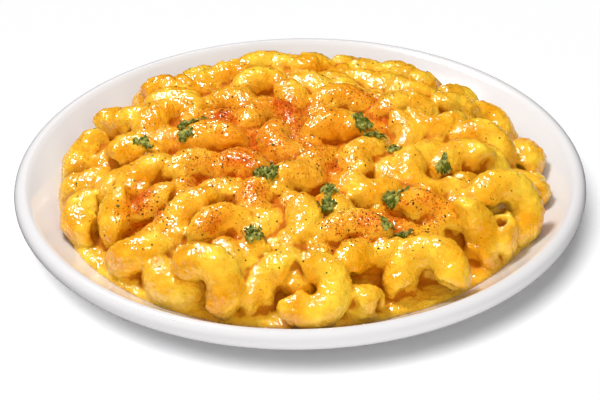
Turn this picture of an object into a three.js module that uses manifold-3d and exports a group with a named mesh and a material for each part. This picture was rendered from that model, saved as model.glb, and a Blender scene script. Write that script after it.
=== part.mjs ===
// Macaroni and cheese, heaped on a round white coupe plate and strewn with chopped parsley.
// Units are millimetres, +Z is up, and the origin is the centre of the plate's foot, on the table.

import * as THREE from 'three';
import { mergeVertices } from 'three/addons/utils/BufferGeometryUtils.js';
import Module from 'manifold-3d';

const wasm = await Module();
wasm.setup();

const GAP = 0.3; // clearance between neighbouring solids

// ---- Plate: a shallow coupe with a flat middle, a curved wall and a rolled edge ----
const PLATE_RADIUS = 110;
const LIP_TOP = 22;
const LIP_ROUND = 3.6; // radius of the rolled edge
const LIP_INSIDE = 110; // the roll's ends, in degrees from straight out, over the top
const LIP_OUTSIDE = -60;
const LIP_STEPS = 5;
const WELL_RADIUS = 70;
const WELL_HEIGHT = 5.5;
const WALL_POWER = 1.8; // 1 would be a cone, more curves the wall up towards the edge
const WALL_STEPS = 5;
const UNDER_RADIUS = 66; // where the underside meets the foot ring
const UNDER_HEIGHT = 2;
const UNDER_STEPS = 3;
const FOOT_OUTER = 63;
const FOOT_INNER = 58;
const RECESS_RADIUS = 56.5;
const PLATE_FACETS = 54;

// ---- Heap: its outline is a flat-topped dome, and its core lies a tube's depth below ----
const HEAP_FOOT = 10;
const HEAP_RISE = 26;
const HEAP_CROWN = 4;
const HEAP_SPREAD = 100;
const SHOULDER = 6; // how square the heap's shoulder is, where 2 would be a plain dome
const SAUCE_LEVEL = 13.5; // pooled cheese sauce round the edge
const CORE_RISE = 17.5;
const CORE_SPREAD = 84;
const CORE_STEPS = 7;
const CORE_FACETS = 30;
const CEILING = 80; // a height above everything

// ---- Elbow macaroni: tubes bent round part of a circle, with the sauce that coats them ----
const PLAIN = { girth: 5.6, bend: 8.5 };
const PLUMP = { girth: 6, bend: 8.5 };
const SLIM = { girth: 5.2, bend: 8.5 };
const LONG = { girth: 5.6, bend: 9.5 };
const TUBE_SIDES = 7;
const DEGREES_PER_STEP = 34;
const LEAST_STEPS = 3;
const SAMPLES = 9; // points along a tube's middle where its height is checked
const BORE_SHARE = 0.55; // bore radius over tube radius
const BORE_DEPTH = 5;
const BORE_SIDES = 6;

// Elbows that stand out. Each row holds
//   x, y      the middle of the elbow
//   heading   where its back points, in degrees anticlockwise from +X
//   lean      how far its back is raised, in degrees
//   tilt      how far it is rolled over, in degrees
//   sweep     how far it bends, in degrees
//   sink      how deep it lies below the outline of the heap
//   size      one of the sizes above
//   open      the cut ends whose bore shows, -1 or 1
const ELBOWS = [
  // front edge, left to right
  [-85, -31, 180, 35, 10, 140, -1, PLUMP],
  [-62, -61, 265, 70, -5, 130, -1, PLUMP],
  [-48, -76.5, 231, 56, 0, 142, -1, PLUMP],
  [-34, -88, 45, 22, 5, 206, 1, PLAIN],
  [-12, -82.5, 126, -27, -5, 157, 0, PLAIN],
  [5.5, -92, 333, 8, -13, 254, 0, SLIM],
  [23, -91.5, 100, -60, 5, 61, 0, SLIM, [-1]],
  [47, -78.5, 105, -5, -37, 219, -3, LONG, [-1]],
  [68, -55, 41, 3, 18, 149, 1, LONG],
  [76.5, -52.5, 17, -13, 26, 74, -1, SLIM, [1]],
  [81, -39, 69, 33, -4, 233, -2, LONG],
  // second row, left to right
  [-70, -39, 165, 0, -15, 120, 0, PLUMP],
  [-55, -37, 125, 15, -20, 90, 2, PLAIN],
  [-42, -48, 140, 0, -20, 180, 0, PLUMP],
  [-29, -55, 100, 35, 15, 120, 0, SLIM],
  [-26, -74, 10, 45, 15, 100, 1, SLIM],
  [-18, -71, 155, 10, -10, 80, 2, SLIM],
  [-3, -80, 20, 0, 0, 110, 3.5, PLUMP],
  [-3, -59, 315, 5, 30, 170, -1, LONG],
  [12, -51, 0, 0, 10, 90, 2, SLIM],
  [22, -73, 95, 25, 45, 150, 0, SLIM, [1]],
  [19, -60, 95, 10, -5, 130, 1, LONG],
  [47, -47, 75, 15, 10, 130, 1, LONG],
  // left side and left shoulder
  [-87, -8, 310, 5, -35, 110, 0, PLUMP],
  [-88, 11, 140, 5, -10, 130, -1, PLUMP],
  [-66, -2, 80, 30, 0, 90, 0, PLUMP],
  [-61, -19, 115, 5, -20, 100, 1, PLAIN],
  [-67, 26, 50, 50, 10, 100, 1, PLAIN],
  [-77, 33, 35, 35, 30, 90, -1, PLAIN],
  [-56, 25, 120, 60, 20, 110, 1, PLUMP],
  [-50, 35, 65, 20, 10, 90, 1, PLAIN],
  // crown
  [-39, -17, 90, 35, 15, 100, 1, PLAIN],
  [-34, 2, 95, 25, 0, 130, 0, PLUMP],
  [-23, -18, 80, 35, -15, 110, 1, PLUMP],
  [-26, 31, 55, 40, -5, 90, 1, PLAIN],
  [-15, -42, 185, 15, -15, 90, 1, PLAIN],
  [-11, 17, 90, 15, 15, 220, 0, PLAIN],
  [-3, -30, 120, 40, 5, 130, 0, PLAIN],
  [9, -17, 110, 40, 25, 110, 1, PLUMP],
  [14, 8, 90, 25, 0, 120, 0, PLUMP],
  [17, 31, 90, 30, 5, 110, 1, PLAIN],
  [4, 44, 70, 20, 0, 110, 2, PLAIN],
  [24, -16, 155, 15, -5, 140, 0, PLUMP],
  [25, -35, 255, 5, 0, 110, 2, PLAIN],
  [41, 7, 5, 10, 20, 80, 2, PLAIN],
  [43, 26, 95, 30, 5, 130, 1, PLUMP],
  [48, -27, 235, -15, -15, 200, -1, LONG],
  // right side and right shoulder
  [64, 33, 95, 35, 5, 100, 1, PLAIN],
  [72, 5, 105, 50, -30, 220, -1, LONG],
  [92, 9, 0, 70, 10, 100, -2, PLAIN],
  [91, -12, 25, 20, -40, 120, -2, SLIM],
  [82, 36, 50, 45, 5, 110, 0.5, PLAIN],
  [67, 48, 125, 45, -20, 90, 0.5, SLIM],
  // far edge, left to right
  [-57, 52, 45, 50, 20, 90, -1, PLAIN],
  [-48, 50, 175, -5, -25, 80, 0, SLIM],
  [-39, 54, 130, -20, -45, 80, 0, PLUMP],
  [-15, 49, 95, 30, 10, 130, 1, PLAIN],
  [-14, 69, 100, 20, 5, 140, 0, LONG],
  [-30, 62, 110, 40, 0, 110, 1.5, PLAIN],
  [7, 69, 105, 55, 25, 110, 1, PLAIN],
  [29, 68, 95, 45, 0, 140, 2, PLAIN],
  [47, 60, 85, 30, -5, 140, 1.5, PLAIN],
  [74, 45, 60, 40, 0, 100, 2.5, PLAIN],
];

// Elbows behind the far edge, and elbows that fill the gaps between the others, lie at random.
const REAR_ELBOWS = 9;
const REAR_FROM = 28; // degrees anticlockwise from +X
const REAR_TO = 152;
const REAR_RADII = [82, 86];
const FILL_PLACES = 200; // places tried, spiralling out from the middle of the heap
const FILL_REACH = 84;
const FILL_SPACING = 13.6; // a place nearer than this to another elbow stays free
const GOLDEN_ANGLE = 137.508;
const SEED = 7;
const ANY_HEADING = [0, 360];
const ANY_LEAN = [-20, 40];
const ANY_TILT = [-20, 20];
const ANY_SWEEP = [90, 180];
const ANY_SINK = [0, 3];

// ---- Parsley: chopped leaves lying on the heap ----
// Each row holds x, y, length, width, the turn of its length from +X in degrees, and its lobes.
const LEAVES = [
  [-41, 9, 14, 7, -20, 5],
  [-59, -5, 6, 8, 70, 3],
  [-43, -1, 8, 6, 10, 4],
  [-12, -31, 13, 9, 70, 5],
  [-16, -65, 9, 9, 0, 5],
  [11, -42, 8, 7, 20, 4],
  [10, -50, 8, 7, -30, 4],
  [24, 6, 11, 7, 120, 4],
  [29, -7, 11, 6, -25, 5],
  [36, -13, 6, 5, -20, 3],
  [54, -19, 9, 6, 80, 3],
  [35, -44, 12, 7, 30, 3],
  [31, -61, 6, 6, 0, 3],
  [37, -62, 8, 5, 25, 3],
];
const LEAF_THICKNESS = 0.8;
const LEAF_POINTS = 13;
const LEAF_NOTCH = 0.2; // depth of the cuts between lobes, as a share of the leaf
const LEAF_RUFFLE = 0.7; // height of the waves along a leaf's edge
const LEAF_PITCH = 0.55; // rise over run, down towards the front
const LEAF_ROLL = 0.4; // steepest a leaf leans to a side

const PORCELAIN = { color: 0xf3f1ef, roughness: 0.25, metalness: 0 };
const CHEESE_SAUCE = { color: 0xf2b233, roughness: 0.3, metalness: 0 };
const PARSLEY = { color: 0x3f6d24, roughness: 0.6, metalness: 0 };

const degrees = THREE.MathUtils.degToRad;

// A repeatable source of numbers within a range, by a linear congruential generator.
function seeded(seed) {
  const [factor, step, modulus] = [1664525, 1013904223, 2 ** 32];
  let state = seed;
  return ([low, high]) => {
    state = (state * factor + step) % modulus;
    return low + ((high - low) * state) / modulus;
  };
}

// ---- Solids and booleans ----

const MERGE_DISTANCE = 1e-4;

function toSolid(geometry) {
  const bare = geometry.clone();
  bare.deleteAttribute('normal');
  bare.deleteAttribute('uv');
  const merged = mergeVertices(bare, MERGE_DISTANCE);
  return new wasm.Manifold(new wasm.Mesh({
    numProp: 3,
    vertProperties: new Float32Array(merged.attributes.position.array),
    triVerts: new Uint32Array(merged.index.array),
  }));
}

function toGeometry(solid) {
  const mesh = solid.getMesh();
  const geometry = new THREE.BufferGeometry();
  geometry.setAttribute('position', new THREE.BufferAttribute(mesh.vertProperties, 3));
  geometry.setIndex(new THREE.BufferAttribute(mesh.triVerts, 1));
  geometry.computeVertexNormals();
  return geometry;
}

// A closed outline of [radius, height] points, turned about the Z axis.
function turned(outline, facets) {
  const points = outline.map(([radius, height]) => new THREE.Vector2(radius, height));
  const geometry = new THREE.LatheGeometry(points, facets);
  geometry.rotateX(Math.PI / 2);
  return geometry;
}

function steps(count, from, to) {
  return Array.from({ length: count + 1 }, (_, i) => from + ((to - from) * i) / count);
}

// ---- Plate ----

const LIP_CENTRE = { radius: PLATE_RADIUS - LIP_ROUND, height: LIP_TOP - LIP_ROUND };

function lipPoint(angle) {
  return [
    LIP_CENTRE.radius + LIP_ROUND * Math.cos(degrees(angle)),
    LIP_CENTRE.height + LIP_ROUND * Math.sin(degrees(angle)),
  ];
}

const [WALL_END_RADIUS, WALL_END_HEIGHT] = lipPoint(LIP_INSIDE);
const [UNDER_END_RADIUS, UNDER_END_HEIGHT] = lipPoint(LIP_OUTSIDE);

// Height of the plate's upper face at a distance from its axis.
function plateTop(radius) {
  const share = Math.max(0, radius - WELL_RADIUS) / (WALL_END_RADIUS - WELL_RADIUS);
  return WELL_HEIGHT + (WALL_END_HEIGHT - WELL_HEIGHT) * share ** WALL_POWER;
}

function plateTopSlope(radius) {
  const span = WALL_END_RADIUS - WELL_RADIUS;
  const share = Math.max(0, radius - WELL_RADIUS) / span;
  return (WALL_POWER * (WALL_END_HEIGHT - WELL_HEIGHT) * share ** (WALL_POWER - 1)) / span;
}

function plateUnderside(radius) {
  const share = (radius - UNDER_RADIUS) / (UNDER_END_RADIUS - UNDER_RADIUS);
  return UNDER_HEIGHT + (UNDER_END_HEIGHT - UNDER_HEIGHT) * share ** WALL_POWER;
}

function plateGeometry() {
  const underside = steps(UNDER_STEPS, UNDER_RADIUS, UNDER_END_RADIUS).slice(0, -1);
  const wall = steps(WALL_STEPS, WALL_END_RADIUS, WELL_RADIUS).slice(1);
  const outline = [
    [0, UNDER_HEIGHT],
    [RECESS_RADIUS, UNDER_HEIGHT],
    [FOOT_INNER, 0],
    [FOOT_OUTER, 0],
    ...underside.map((radius) => [radius, plateUnderside(radius)]),
    ...steps(LIP_STEPS, LIP_OUTSIDE, LIP_INSIDE).map(lipPoint),
    ...wall.map((radius) => [radius, plateTop(radius)]),
    [0, WELL_HEIGHT],
  ];
  return turned(outline, PLATE_FACETS);
}

// ---- Heap ----

// Height of the heap's outline at a distance from its axis, and how steeply it falls there.
function heapTop(radius) {
  const share = radius / HEAP_SPREAD;
  return HEAP_FOOT + HEAP_RISE * (1 - share ** SHOULDER) + HEAP_CROWN * (1 - share ** 2);
}

function heapSlope(radius) {
  const share = radius / HEAP_SPREAD;
  const shoulderFall = SHOULDER * HEAP_RISE * share ** (SHOULDER - 1);
  return -(shoulderFall + 2 * HEAP_CROWN * share) / HEAP_SPREAD;
}

function heapUp(x, y) {
  const radius = Math.hypot(x, y);
  const fall = heapSlope(radius) / radius;
  return new THREE.Vector3(-fall * x, -fall * y, 1).normalize();
}

function coreTop(radius) {
  return SAUCE_LEVEL + CORE_RISE * (1 - Math.min(1, radius / CORE_SPREAD) ** SHOULDER);
}

// The space above the plate, a gap clear of it all over.
function roomAbovePlate() {
  const wall = steps(2 * WALL_STEPS, WELL_RADIUS, WALL_END_RADIUS);
  const clear = wall.map((radius) => {
    const rise = GAP * Math.hypot(1, plateTopSlope(radius));
    return [radius, plateTop(radius) + rise];
  });
  const outline = [
    [0, WELL_HEIGHT + GAP],
    ...clear,
    [WALL_END_RADIUS, CEILING],
    [0, CEILING],
  ];
  return toSolid(turned(outline, PLATE_FACETS));
}

function sauceCore() {
  const top = steps(CORE_STEPS, CORE_SPREAD, 0).map((radius) => [radius, coreTop(radius)]);
  const outline = [
    [0, 0],
    [WALL_END_RADIUS, 0],
    [WALL_END_RADIUS, SAUCE_LEVEL],
    ...top,
  ];
  return toSolid(turned(outline, CORE_FACETS));
}

// The middle line of one elbow, an arc that starts and ends half its sweep from its back.
class ElbowLine extends THREE.Curve {
  constructor(along, across, bend, sweep) {
    super();
    Object.assign(this, { along, across, bend, sweep, centre: new THREE.Vector3() });
  }

  getPoint(share, target = new THREE.Vector3()) {
    const angle = this.sweep * (share - 0.5);
    return target.copy(this.centre)
      .addScaledVector(this.along, this.bend * Math.cos(angle))
      .addScaledVector(this.across, this.bend * Math.sin(angle));
  }
}

// Lays an elbow so that its highest point is just under the heap's outline, and lifts it
// where it would cut into the plate.
function layElbow([x, y, heading, lean, tilt, sweep, sink, size]) {
  const up = heapUp(x, y);
  const ahead = new THREE.Vector3(Math.cos(degrees(heading)), Math.sin(degrees(heading)), 0);
  ahead.addScaledVector(up, -ahead.dot(up)).normalize();
  const side = up.clone().cross(ahead);
  const along = ahead.multiplyScalar(Math.cos(degrees(lean)))
    .addScaledVector(up, Math.sin(degrees(lean)));
  const third = along.clone().cross(side);
  const across = side.multiplyScalar(Math.cos(degrees(tilt)))
    .addScaledVector(third, Math.sin(degrees(tilt)));

  const line = new ElbowLine(along, across, size.bend, degrees(sweep));
  const samples = line.getPoints(SAMPLES - 1);
  const middle = new THREE.Vector3();
  samples.forEach((point) => middle.addScaledVector(point, 1 / SAMPLES));
  const rise = Math.max(...samples.map((point) => point.clone().sub(middle).dot(up)));
  line.centre.set(x, y, heapTop(Math.hypot(x, y)))
    .sub(middle)
    .addScaledVector(up, -(rise + size.girth + sink));

  const shortfalls = line.getPoints(SAMPLES - 1).map((point) => {
    const radius = Math.hypot(point.x, point.y);
    const clearance = (size.girth + GAP) * Math.hypot(1, plateTopSlope(radius));
    return plateTop(radius) + clearance - point.z;
  });
  line.centre.z += Math.max(0, ...shortfalls);
  return line;
}

function ring(radius, sides) {
  const corners = steps(sides, 0, 2 * Math.PI).slice(0, -1);
  return new THREE.Shape(corners.map((angle) => new THREE.Vector2(
    radius * Math.cos(angle),
    radius * Math.sin(angle),
  )));
}

function tube(line, radius, sides, stepCount) {
  return toSolid(new THREE.ExtrudeGeometry(ring(radius, sides), {
    extrudePath: line,
    steps: stepCount,
    bevelEnabled: false,
  }));
}

function elbowSolid(row) {
  const [sweep, size] = [row[5], row[7]];
  const stepCount = Math.max(LEAST_STEPS, Math.round(sweep / DEGREES_PER_STEP));
  return tube(layElbow(row), size.girth, TUBE_SIDES, stepCount);
}

// The blind bore at one cut end of an elbow, -1 for its start and 1 for its end.
function boreSolid(row, end) {
  const line = layElbow(row);
  const share = end < 0 ? 0 : 1;
  const mouth = line.getPoint(share);
  const outward = line.getTangent(share).multiplyScalar(end * BORE_DEPTH);
  const bore = new THREE.LineCurve3(mouth.clone().sub(outward), mouth.clone().add(outward));
  return tube(bore, row[7].girth * BORE_SHARE, BORE_SIDES, 1);
}

// An elbow at an angle, in radians, and a distance from the middle, lying at random.
function anyElbow(angle, radius, draw) {
  const [x, y] = [radius * Math.cos(angle), radius * Math.sin(angle)];
  return [x, y, ...[ANY_HEADING, ANY_LEAN, ANY_TILT, ANY_SWEEP, ANY_SINK].map(draw), PLAIN];
}

function rearElbows(draw) {
  return steps(REAR_ELBOWS - 1, REAR_FROM, REAR_TO)
    .map((angle) => anyElbow(degrees(angle), draw(REAR_RADII), draw));
}

function fillElbows(draw, others) {
  const laid = [...others];
  steps(FILL_PLACES - 1, 0.5, FILL_PLACES - 0.5).forEach((place) => {
    const radius = FILL_REACH * Math.sqrt(place / FILL_PLACES);
    const angle = degrees(place * GOLDEN_ANGLE);
    const [x, y] = [radius * Math.cos(angle), radius * Math.sin(angle)];
    if (laid.every((row) => Math.hypot(row[0] - x, row[1] - y) > FILL_SPACING)) {
      laid.push(anyElbow(angle, radius, draw));
    }
  });
  return laid;
}

function largestPiece(solid) {
  return solid.decompose().reduce((a, b) => (a.volume() > b.volume() ? a : b));
}

function heapSolid() {
  const draw = seeded(SEED);
  const rows = fillElbows(draw, [...ELBOWS, ...rearElbows(draw)]);
  const bores = ELBOWS.flatMap((row) => (row[8] ?? []).map((end) => boreSolid(row, end)));
  const solid = rows
    .reduce((whole, row) => whole.add(elbowSolid(row)), sauceCore())
    .intersect(roomAbovePlate());
  return largestPiece(bores.reduce((whole, bore) => whole.subtract(bore), solid));
}

// ---- Parsley ----

// A lobed, ruffled flake that leans as the heap under it does, a gap clear of it.
function leafGeometry([x, y, length, width, turn, lobes], heapMesh, heap) {
  const ray = new THREE.Raycaster();
  const down = new THREE.Vector3(0, 0, -1);
  const ground = (dx, dy) => {
    ray.set(new THREE.Vector3(x + dx, y + dy, CEILING), down);
    return ray.intersectObject(heapMesh)[0].point.z;
  };
  const fall = (ground(length, 0) - ground(-length, 0)) / (2 * length);
  const roll = THREE.MathUtils.clamp(fall, -LEAF_ROLL, LEAF_ROLL);

  const leaf = new THREE.CylinderGeometry(1, 1, LEAF_THICKNESS, LEAF_POINTS, 1);
  leaf.rotateX(Math.PI / 2);
  const corners = leaf.attributes.position;
  const flat = new THREE.Vector2();
  for (let i = 0; i < corners.count; i += 1) {
    const angle = Math.atan2(corners.getY(i), corners.getX(i));
    const share = Math.hypot(corners.getX(i), corners.getY(i));
    const lobe = (share * (1 - LEAF_NOTCH + LEAF_NOTCH * Math.cos(lobes * angle))) / 2;
    flat.set(lobe * length * Math.cos(angle), lobe * width * Math.sin(angle));
    flat.rotateAround(new THREE.Vector2(), degrees(turn));
    const ruffle = LEAF_RUFFLE * share * Math.sin((lobes - 1) * angle);
    const height = corners.getZ(i) + roll * flat.x + LEAF_PITCH * flat.y + ruffle;
    corners.setXYZ(i, x + flat.x, y + flat.y, height);
  }
  leaf.translate(0, 0, ground(0, 0));
  while (!heap.intersect(toSolid(leaf)).isEmpty()) {
    leaf.translate(0, 0, GAP);
  }
  return leaf.translate(0, 0, GAP);
}

// ---- The part ----

function piece(name, geometry, finish) {
  const mesh = new THREE.Mesh(geometry, new THREE.MeshStandardMaterial(finish));
  mesh.name = name;
  return mesh;
}

const heap = heapSolid();
const macaroni = piece('macaroni_in_cheese_sauce', toGeometry(heap), CHEESE_SAUCE);
macaroni.updateMatrixWorld();

const part = new THREE.Group();
part.add(piece('plate', plateGeometry(), PORCELAIN));
part.add(macaroni);
LEAVES.forEach((row, i) => {
  const name = `parsley_${String(i + 1).padStart(2, '0')}`;
  part.add(piece(name, leafGeometry(row, macaroni, heap), PARSLEY));
});

export default part;
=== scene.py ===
"""Looks for a heaped plate of macaroni and cheese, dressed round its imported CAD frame.

Lengths in the tables and formulas are millimetres. They turn to metres where a mesh is made.
"""

import math

import bpy
import numpy as np
from mathutils import Matrix, Vector, noise
from mathutils.bvhtree import BVHTree


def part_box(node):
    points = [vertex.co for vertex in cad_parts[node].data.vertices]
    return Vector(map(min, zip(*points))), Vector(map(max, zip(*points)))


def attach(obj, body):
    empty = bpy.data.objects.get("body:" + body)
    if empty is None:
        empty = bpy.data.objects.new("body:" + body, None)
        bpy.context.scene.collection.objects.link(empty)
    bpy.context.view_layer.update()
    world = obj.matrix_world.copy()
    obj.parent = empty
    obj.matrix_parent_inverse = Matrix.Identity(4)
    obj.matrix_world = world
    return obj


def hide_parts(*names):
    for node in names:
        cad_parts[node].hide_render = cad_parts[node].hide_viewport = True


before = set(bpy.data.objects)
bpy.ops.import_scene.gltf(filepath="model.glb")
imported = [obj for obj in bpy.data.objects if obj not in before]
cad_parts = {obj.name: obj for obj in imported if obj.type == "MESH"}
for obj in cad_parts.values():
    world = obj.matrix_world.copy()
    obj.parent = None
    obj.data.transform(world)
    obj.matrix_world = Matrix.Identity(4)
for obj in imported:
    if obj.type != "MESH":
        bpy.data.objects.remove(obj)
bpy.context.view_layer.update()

bl_info = {
    "name": "Macaroni and Cheese Plate",
    "version": (1, 0, 0),
    "blender": (4, 5, 0),
    "location": "View3D > Sidebar > Macaroni",
    "description": "Builds a plate of macaroni in cheese sauce with parsley, pepper and paprika",
    "category": "Add Mesh",
}

MM = 0.001
PLATE_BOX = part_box("plate")
HEAP_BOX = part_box("macaroni_in_cheese_sauce")
PARSLEY_NODES = sorted(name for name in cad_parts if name.startswith("parsley_"))

# ---- Plate: a shallow coupe with a flat middle, a curved wall and a rolled edge ----
PLATE_RADIUS = round(PLATE_BOX[1].y / MM)
LIP_TOP = round(PLATE_BOX[1].z / MM)
LIP_ROUND = 3.6
LIP_INSIDE = 110  # degrees up from straight out, where the rolled edge meets the wall
LIP_OUTSIDE = -60  # and where it meets the underside
WELL_RADIUS = 70
WELL_HEIGHT = 5.5
WALL_POWER = 1.8
UNDER_RADIUS = 66
UNDER_HEIGHT = 2
FOOT_OUTER = 63
FOOT_INNER = 58
FOOT_FLARE = 0.8  # how much the foot ring widens at each side
FOOT_EDGE = 0.35  # and how high up it has done so
RECESS_RADIUS = 56.5

# ---- Heap: its outline is a flat-topped dome, and its core lies a tube's depth below ----
HEAP_FOOT = 10
HEAP_RISE = 26
HEAP_CROWN = 4
HEAP_SPREAD = 100
SHOULDER = 6  # the higher it is, the flatter the top and the steeper the sides
SAUCE_LEVEL = 13.5
CORE_RISE = 17.5
CORE_SPREAD = 80
CORE_SINK = 2  # how far the sauce between the elbows has settled
SAUCE_EDGE = 94
GAP = 0.3  # the least room between an elbow and the plate

# ---- Elbow macaroni: tubes bent round part of a circle, with the sauce that coats them ----
PLAIN = {"girth": 5.6, "bend": 8.5}
PLUMP = {"girth": 6.0, "bend": 8.5}
SLIM = {"girth": 5.2, "bend": 8.5}
LONG = {"girth": 5.6, "bend": 9.5}
BURIED_RADIUS = 66  # nearer the middle, the elbows run on below the sauce that hides them
SHORTEST_SWEEP = 145
SAMPLES = 9  # points along an elbow's middle line where its place is tried

# Each row holds x, y, heading, lean, tilt, sweep, sink, size and the ends, -1 or 1, that are open.
ELBOWS = [
    # front edge, left to right
    (-85, -31, 180, 35, 10, 140, -1, PLUMP),
    (-62, -61, 265, 70, -5, 130, -1, PLUMP),
    (-48, -76.5, 231, 56, 0, 142, -1, PLUMP),
    (-34, -88, 45, 22, 5, 206, 1, PLAIN),
    (-12, -82.5, 126, -27, -5, 157, 0, PLAIN),
    (5.5, -92, 333, 8, -13, 254, 0, SLIM),
    (23, -91.5, 100, -60, 5, 61, 0, SLIM, (-1,)),
    (47, -78.5, 105, -5, -37, 219, -3, LONG, (-1,)),
    (68, -55, 41, 3, 18, 149, 1, LONG),
    (76.5, -52.5, 17, -13, 26, 74, -1, SLIM, (1,)),
    (81, -39, 69, 33, -4, 233, -2, LONG),
    # second row, left to right
    (-70, -39, 165, 0, -15, 120, 0, PLUMP),
    (-55, -37, 125, 15, -20, 90, 2, PLAIN),
    (-42, -48, 140, 0, -20, 180, 0, PLUMP),
    (-29, -55, 100, 35, 15, 120, 0, SLIM),
    (-26, -74, 10, 45, 15, 100, 1, SLIM),
    (-18, -71, 155, 10, -10, 80, 2, SLIM),
    (-3, -80, 20, 0, 0, 110, 3.5, PLUMP),
    (-3, -59, 315, 5, 30, 170, -1, LONG),
    (12, -51, 0, 0, 10, 90, 2, SLIM),
    (22, -73, 95, 25, 45, 150, 0, SLIM, (1,)),
    (19, -60, 95, 10, -5, 130, 1, LONG),
    (47, -47, 75, 15, 10, 130, 1, LONG),
    # left side and left shoulder
    (-87, -8, 310, 5, -35, 110, 0, PLUMP),
    (-88, 11, 140, 5, -10, 130, -1, PLUMP),
    (-66, -2, 80, 30, 0, 90, 0, PLUMP),
    (-61, -19, 115, 5, -20, 100, 1, PLAIN),
    (-67, 26, 50, 50, 10, 100, 1, PLAIN),
    (-77, 33, 35, 35, 30, 90, -1, PLAIN),
    (-56, 25, 120, 60, 20, 110, 1, PLUMP),
    (-50, 35, 65, 20, 10, 90, 1, PLAIN),
    # crown
    (-39, -17, 90, 35, 15, 100, 1, PLAIN),
    (-34, 2, 95, 25, 0, 130, 0, PLUMP),
    (-23, -18, 80, 35, -15, 110, 1, PLUMP),
    (-26, 31, 55, 40, -5, 90, 1, PLAIN),
    (-15, -42, 185, 15, -15, 90, 1, PLAIN),
    (-11, 17, 90, 15, 15, 220, 0, PLAIN),
    (-3, -30, 120, 40, 5, 130, 0, PLAIN),
    (9, -17, 110, 40, 25, 110, 1, PLUMP),
    (14, 8, 90, 25, 0, 120, 0, PLUMP),
    (17, 31, 90, 30, 5, 110, 1, PLAIN),
    (4, 44, 70, 20, 0, 110, 2, PLAIN),
    (24, -16, 155, 15, -5, 140, 0, PLUMP),
    (25, -35, 255, 5, 0, 110, 2, PLAIN),
    (41, 7, 5, 10, 20, 80, 2, PLAIN),
    (43, 26, 95, 30, 5, 130, 1, PLUMP),
    (48, -27, 235, -15, -15, 200, -1, LONG),
    # right side and right shoulder
    (64, 33, 95, 35, 5, 100, 1, PLAIN),
    (72, 5, 105, 50, -30, 220, -1, LONG),
    (92, 9, 0, 70, 10, 100, -2, PLAIN),
    (91, -12, 25, 20, -40, 120, -2, SLIM),
    (82, 36, 50, 45, 5, 110, 0.5, PLAIN),
    (67, 48, 125, 45, -20, 90, 0.5, SLIM),
    # far edge, left to right
    (-57, 52, 45, 50, 20, 90, -1, PLAIN),
    (-48, 50, 175, -5, -25, 80, 0, SLIM),
    (-39, 54, 130, -20, -45, 80, 0, PLUMP),
    (-15, 49, 95, 30, 10, 130, 1, PLAIN),
    (-14, 69, 100, 20, 5, 140, 0, LONG),
    (-30, 62, 110, 40, 0, 110, 1.5, PLAIN),
    (7, 69, 105, 55, 25, 110, 1, PLAIN),
    (29, 68, 95, 45, 0, 140, 2, PLAIN),
    (47, 60, 85, 30, -5, 140, 1.5, PLAIN),
    (74, 45, 60, 40, 0, 100, 2.5, PLAIN),
]

# Elbows behind the far edge, and elbows that fill the gaps between the others, lie at random.
REAR_ELBOWS = 9
REAR_FROM = 28
REAR_TO = 152
REAR_RADII = (82, 86)
FILL_PLACES = 200
FILL_REACH = 84
FILL_SPACING = 13.6
GOLDEN_ANGLE = 137.508
SEED = 7
ANY_HEADING = (0, 360)
ANY_LEAN = (-20, 40)
ANY_TILT = (-20, 20)
ANY_SWEEP = (90, 180)
ANY_SINK = (0, 3)

# Smaller gaps show more elbows, lower down.
UNDER_PLACES = 420
UNDER_SPACING = 9.5
UNDER_SINK = (4, 7)

# ---- Parsley: each row holds x, y, length, width, turn and leaflets ----
LEAVES = [
    (-41, 9, 14, 7, -20, 5),
    (-59, -5, 6, 8, 70, 3),
    (-43, -1, 8, 6, 10, 4),
    (-12, -31, 13, 9, 70, 5),
    (-16, -65, 9, 9, 0, 5),
    (11, -42, 8, 7, 20, 4),
    (10, -50, 8, 7, -30, 4),
    (24, 6, 11, 7, 120, 4),
    (29, -7, 11, 6, -25, 5),
    (36, -13, 6, 5, -20, 3),
    (54, -19, 9, 6, 80, 3),
    (35, -44, 12, 7, 30, 3),
    (31, -61, 6, 6, 0, 3),
    (37, -62, 8, 5, 25, 3),
]

# ---- Paprika: each row holds x, y, the spread of the dusting and its strength ----
PAPRIKA = [
    (-30, 10, 9, 1.0),
    (-31, 19, 7, 0.6),
    (-5, 19, 9, 1.0),
    (1, 11, 10, 0.8),
    (-22, -21, 10, 0.9),
    (-37, -24, 9, 0.7),
    (8, -8, 8, 0.7),
    (-12, -15, 8, 0.5),
    (30, 15, 8, 0.7),
    (26, 30, 10, 0.5),
    (11, -23, 8, 0.5),
    (-16, -42, 8, 0.7),
    (-58, -37, 8, 0.8),
    (-54, -45, 6, 0.8),
    (-30, -60, 7, 0.7),
    (14, -62, 7, 0.5),
    (25, -60, 8, 0.7),
    (34, -53, 8, 0.8),
    (47, -47, 8, 0.5),
]
PAPRIKA_TINGE = (-12, -4, 42, 0.58)  # the same, for what is dusted thinly over the whole crown


def linear(hex_colour):
    """An sRGB hex colour as linear red, green and blue, with alpha."""
    values = [int(hex_colour[i : i + 2], 16) / 255 for i in (1, 3, 5)]
    return [v / 12.92 if v <= 0.04045 else ((v + 0.055) / 1.055) ** 2.4 for v in values] + [1.0]


# ---- Settings ----


def colour_property(name, description, hex_colour):
    return bpy.props.FloatVectorProperty(
        name=name,
        description=description,
        subtype="COLOR",
        size=4,
        min=0.0,
        max=1.0,
        default=linear(hex_colour),
    )


def length_property(name, description, millimetres):
    return bpy.props.FloatProperty(
        name=name,
        description=description,
        unit="LENGTH",
        precision=5,
        min=0.0,
        default=millimetres * MM,
    )


def light_property(name, description, strength, unit="NONE"):
    return bpy.props.FloatProperty(
        name=name,
        description=description,
        unit=unit,
        min=0.0,
        default=strength,
    )


def count_property(name, description, count, least=0):
    return bpy.props.IntProperty(name=name, description=description, min=least, default=count)


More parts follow.
